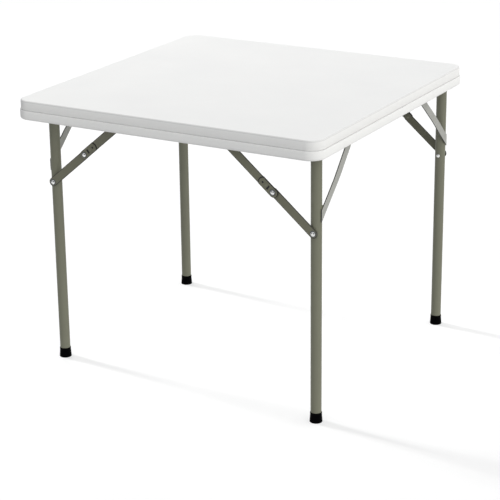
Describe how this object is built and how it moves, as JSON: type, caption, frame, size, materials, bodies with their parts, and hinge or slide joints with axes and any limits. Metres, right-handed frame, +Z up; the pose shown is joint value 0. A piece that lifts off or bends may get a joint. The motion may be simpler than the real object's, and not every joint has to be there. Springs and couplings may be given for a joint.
{
  "type": "square folding table",
  "caption": "Square folding table with a moulded plastic top, fold-flat tubular steel leg frames, locking stays and black foot caps.",
  "frame": {"origin": "on the floor under the middle of the top, with the legs standing", "axes": "+Z up; the leg frames fold about bars along Y; +X towards the wide (outer) leg frame"},
  "size_m": [0.87, 0.87, 0.74],
  "materials": {
    "top_plastic": "fine-grained moulded polyethylene",
    "leg_steel": "satin grey-olive powder coat",
    "rail_steel": "satin dark grey powder coat",
    "zinc": "bright zinc plate",
    "black_plastic": "matt black moulded"
  },
  "bodies": {
    "root": {"tabletop": "top_plastic", "side_rail_left": "rail_steel", "side_rail_right": "rail_steel", "rail_screws": "zinc", "pivot_bushes": "black_plastic", "stay_bracket_left": "rail_steel", "stay_bracket_right": "rail_steel", "bracket_rivets": "zinc", "wide_anchor_rivets": "zinc", "narrow_anchor_rivets": "zinc"},
    "wide_frame": {"wide_crossbar": "leg_steel", "wide_crossbar_caps": "black_plastic", "wide_leg_rivets": "zinc", "wide_leg_left": "leg_steel", "wide_foot_cap_left": "black_plastic", "wide_gusset_left": "leg_steel", "wide_leg_right": "leg_steel", "wide_foot_cap_right": "black_plastic", "wide_gusset_right": "leg_steel"},
    "wide_lower_left": {"wide_lower_link_left": "leg_steel", "wide_elbow_tail_left": "zinc"},
    "wide_upper_left": {"wide_upper_link_left": "leg_steel", "wide_elbow_head_left": "zinc"},
    "wide_lower_right": {"wide_lower_link_right": "leg_steel", "wide_elbow_tail_right": "zinc"},
    "wide_upper_right": {"wide_upper_link_right": "leg_steel", "wide_elbow_head_right": "zinc"},
    "narrow_frame": {"narrow_crossbar": "leg_steel", "narrow_crossbar_caps": "black_plastic", "narrow_leg_rivets": "zinc", "narrow_leg_left": "leg_steel", "narrow_foot_cap_left": "black_plastic", "narrow_gusset_left": "leg_steel", "narrow_leg_right": "leg_steel", "narrow_foot_cap_right": "black_plastic", "narrow_gusset_right": "leg_steel"},
    "narrow_lower_left": {"narrow_lower_link_left": "leg_steel", "narrow_elbow_tail_left": "zinc"},
    "narrow_upper_left": {"narrow_upper_link_left": "leg_steel", "narrow_elbow_head_left": "zinc"},
    "narrow_lower_right": {"narrow_lower_link_right": "leg_steel", "narrow_elbow_tail_right": "zinc"},
    "narrow_upper_right": {"narrow_upper_link_right": "leg_steel", "narrow_elbow_head_right": "zinc"}
  },
  "joints": [
    {"name": "wide_fold", "type": "hinge", "parent": "root", "child": "wide_frame", "pos_m": [0.397, 0, 0.7013], "axis": [0, 1, 0], "range_deg": [0, 90]},
    {"name": "wide_lower_left_turn", "type": "hinge", "parent": "wide_frame", "child": "wide_lower_left", "pos_m": [0.397, -0.387, 0.4973], "axis": [0, 1, 0], "range_deg": [0, 49.87]},
    {"name": "wide_upper_left_turn", "type": "hinge", "parent": "root", "child": "wide_upper_left", "pos_m": [0.155, -0.391, 0.7013], "axis": [0, -1, 0], "range_deg": [0, 40.13]},
    {"name": "wide_lower_right_turn", "type": "hinge", "parent": "wide_frame", "child": "wide_lower_right", "pos_m": [0.397, 0.387, 0.4973], "axis": [0, 1, 0], "range_deg": [0, 49.87]},
    {"name": "wide_upper_right_turn", "type": "hinge", "parent": "root", "child": "wide_upper_right", "pos_m": [0.155, 0.391, 0.7013], "axis": [0, -1, 0], "range_deg": [0, 40.13]},
    {"name": "narrow_fold", "type": "hinge", "parent": "root", "child": "narrow_frame", "pos_m": [-0.397, 0, 0.7035], "axis": [0, -1, 0], "range_deg": [0, 90]},
    {"name": "narrow_lower_left_turn", "type": "hinge", "parent": "narrow_frame", "child": "narrow_lower_left", "pos_m": [-0.397, -0.334, 0.4995], "axis": [0, -1, 0], "range_deg": [0, 49.87]},
    {"name": "narrow_upper_left_turn", "type": "hinge", "parent": "root", "child": "narrow_upper_left", "pos_m": [-0.155, -0.338, 0.7035], "axis": [0, 1, 0], "range_deg": [0, 40.13]},
    {"name": "narrow_lower_right_turn", "type": "hinge", "parent": "narrow_frame", "child": "narrow_lower_right", "pos_m": [-0.397, 0.334, 0.4995], "axis": [0, -1, 0], "range_deg": [0, 49.87]},
    {"name": "narrow_upper_right_turn", "type": "hinge", "parent": "root", "child": "narrow_upper_right", "pos_m": [-0.155, 0.338, 0.7035], "axis": [0, 1, 0], "range_deg": [0, 40.13]}
  ],
  "couplings": [
    {"joint": "wide_lower_left_turn", "follows": "wide_fold", "ratio": 0.55411},
    {"joint": "wide_upper_left_turn", "follows": "wide_fold", "ratio": 0.44589},
    {"joint": "wide_lower_right_turn", "follows": "wide_fold", "ratio": 0.55411},
    {"joint": "wide_upper_right_turn", "follows": "wide_fold", "ratio": 0.44589},
    {"joint": "narrow_lower_left_turn", "follows": "narrow_fold", "ratio": 0.55411},
    {"joint": "narrow_upper_left_turn", "follows": "narrow_fold", "ratio": 0.44589},
    {"joint": "narrow_lower_right_turn", "follows": "narrow_fold", "ratio": 0.55411},
    {"joint": "narrow_upper_right_turn", "follows": "narrow_fold", "ratio": 0.44589}
  ]
}
